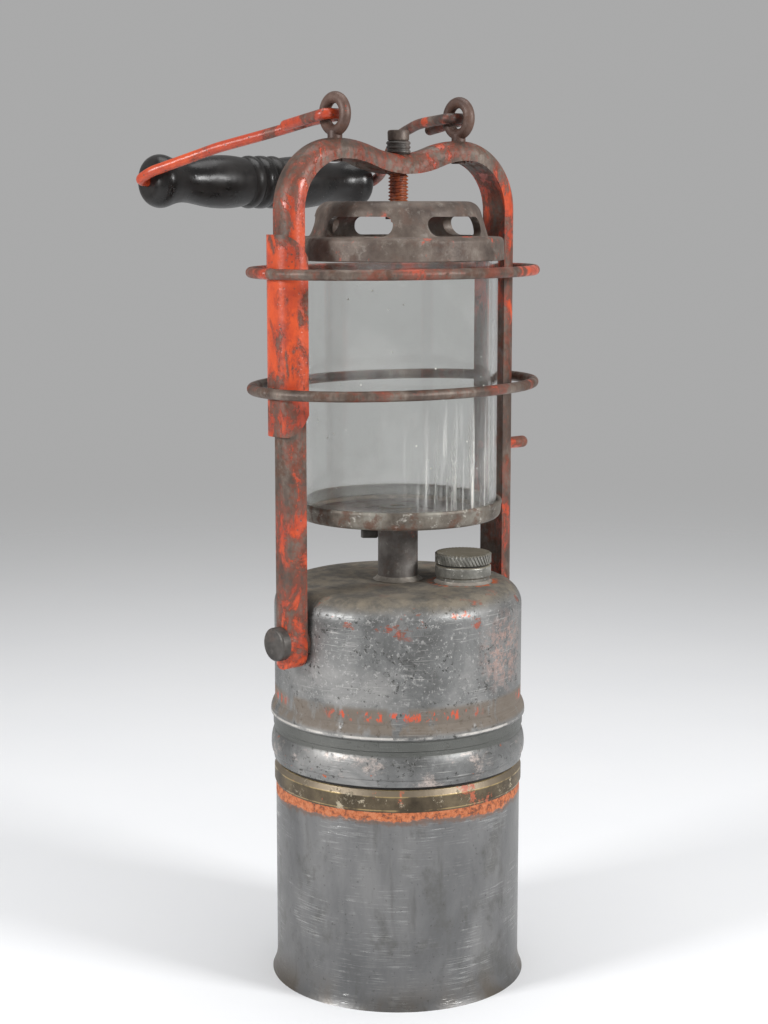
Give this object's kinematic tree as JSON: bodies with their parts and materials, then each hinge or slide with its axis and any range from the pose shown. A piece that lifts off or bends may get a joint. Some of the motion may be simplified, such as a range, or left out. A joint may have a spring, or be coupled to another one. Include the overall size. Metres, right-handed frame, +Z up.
{
  "type": "carbide lamp",
  "caption": "Hand-carried carbide lamp: carbide can, water tank over it, glass flame chamber, iron yoke with clamp screw, wire guard, and a swinging bail with a wooden grip.",
  "frame": {"origin": "centre of the can's base, on the surface that it stands on", "axes": "+Z up along the lamp's axis, +X along the line of the two yoke studs, away from the saddled arm, +Y towards the side that the bail rests on"},
  "size_m": [0.1403, 0.1582, 0.364],
  "materials": {
    "can_steel": "zinc-coated sheet steel, scratched and stained",
    "tank_steel": "tinned sheet steel, mottled and dusty",
    "aged_brass": "dark brown tarnished brass",
    "grey_plate": "dull plated brass",
    "tube_steel": "stained steel tube",
    "rusty_iron": "sheet iron with brown rust",
    "cast_iron": "cast iron, rusted, with traces of paint",
    "orange_enamel": "vermilion enamel, chipped and worn",
    "worn_iron": "iron with most of its paint gone",
    "thread_paint": "painted screw, worn",
    "dark_steel": "dark worn steel",
    "black_rubber": "old black rubber",
    "fibre": "pressed fibre",
    "clear_glass": "clear drawn glass, slightly stained",
    "black_wood": "turned wood, stained black"
  },
  "bodies": {
    "can": {"can_shell": "can_steel", "can_floor": "can_steel", "can_collar": "aged_brass"},
    "seal": {"seal_ring": "black_rubber"},
    "tank": {"tank_shell": "tank_steel", "tank_floor": "tank_steel", "tank_skirt": "aged_brass", "gas_tube": "tube_steel", "filter_cup": "aged_brass", "filter_felt": "fibre", "valve_seat": "aged_brass", "valve_gland": "aged_brass", "filler_neck": "grey_plate", "burner_gallery": "rusty_iron", "burner_socket": "aged_brass", "glass_seat": "fibre", "glass_chimney": "clear_glass", "yoke": "orange_enamel", "stud_bosses": "rusty_iron", "pivot_studs": "dark_steel", "side_pin": "orange_enamel", "eyelets": "worn_iron", "guard_saddle": "orange_enamel", "guard_ring_upper": "orange_enamel", "guard_ring_lower": "orange_enamel"},
    "washer": {"filler_washer": "black_rubber"},
    "cap": {"filler_cap": "grey_plate"},
    "hood": {"hood": "cast_iron", "hood_gasket": "fibre"},
    "screw": {"clamp_screw": "thread_paint", "tip_collar": "dark_steel", "lock_nut": "dark_steel"},
    "valve": {"valve_spindle": "dark_steel", "valve_lever": "dark_steel", "spindle_nut": "dark_steel"},
    "bail": {"bail_wire": "orange_enamel"},
    "grip": {"bail_grip": "black_wood"}
  },
  "joints": [
    {"name": "tank_lift", "type": "slide", "parent": "can", "child": "seal", "axis": [0, 0, 1], "range_m": [0, 0.00901]},
    {"name": "tank_turn", "type": "hinge", "parent": "seal", "child": "tank", "pos_m": [0, 0, 0.092], "axis": [0, 0, 1], "range_deg": [0, 1080]},
    {"name": "filler_lift", "type": "slide", "parent": "tank", "child": "washer", "axis": [0, 0, 1], "range_m": [0, 0.00601]},
    {"name": "filler_turn", "type": "hinge", "parent": "washer", "child": "cap", "pos_m": [0.0174, -0.021, 0.175], "axis": [0, 0, 1], "range_deg": [0, 1080]},
    {"name": "hood_lift", "type": "slide", "parent": "tank", "child": "hood", "axis": [0, 0, 1], "range_m": [0, 0.0098]},
    {"name": "screw_turn", "type": "hinge", "parent": "hood", "child": "screw", "pos_m": [0, 0, 0.33], "axis": [0, 0, 1], "range_deg": [0, 2521]},
    {"name": "valve_turn", "type": "hinge", "parent": "tank", "child": "valve", "pos_m": [0.00932, 0.01111, 0.167], "axis": [0, 0, 1], "range_deg": [-120, 0]},
    {"name": "bail_swing", "type": "hinge", "parent": "tank", "child": "bail", "pos_m": [0, 0, 0.3553], "axis": [1, 0, 0], "range_deg": [0, 210]},
    {"name": "grip_turn", "type": "hinge", "parent": "bail", "child": "grip", "pos_m": [0, 0.0937, 0.3302], "axis": [1, 0, 0], "continuous": true}
  ],
  "couplings": [
    {"joint": "tank_lift", "follows": "tank_turn", "m_per_rad": 0.00047746},
    {"joint": "filler_lift", "follows": "filler_turn", "m_per_rad": 0.00031831},
    {"joint": "screw_turn", "follows": "hood_lift", "rad_per_m": 4488}
  ]
}
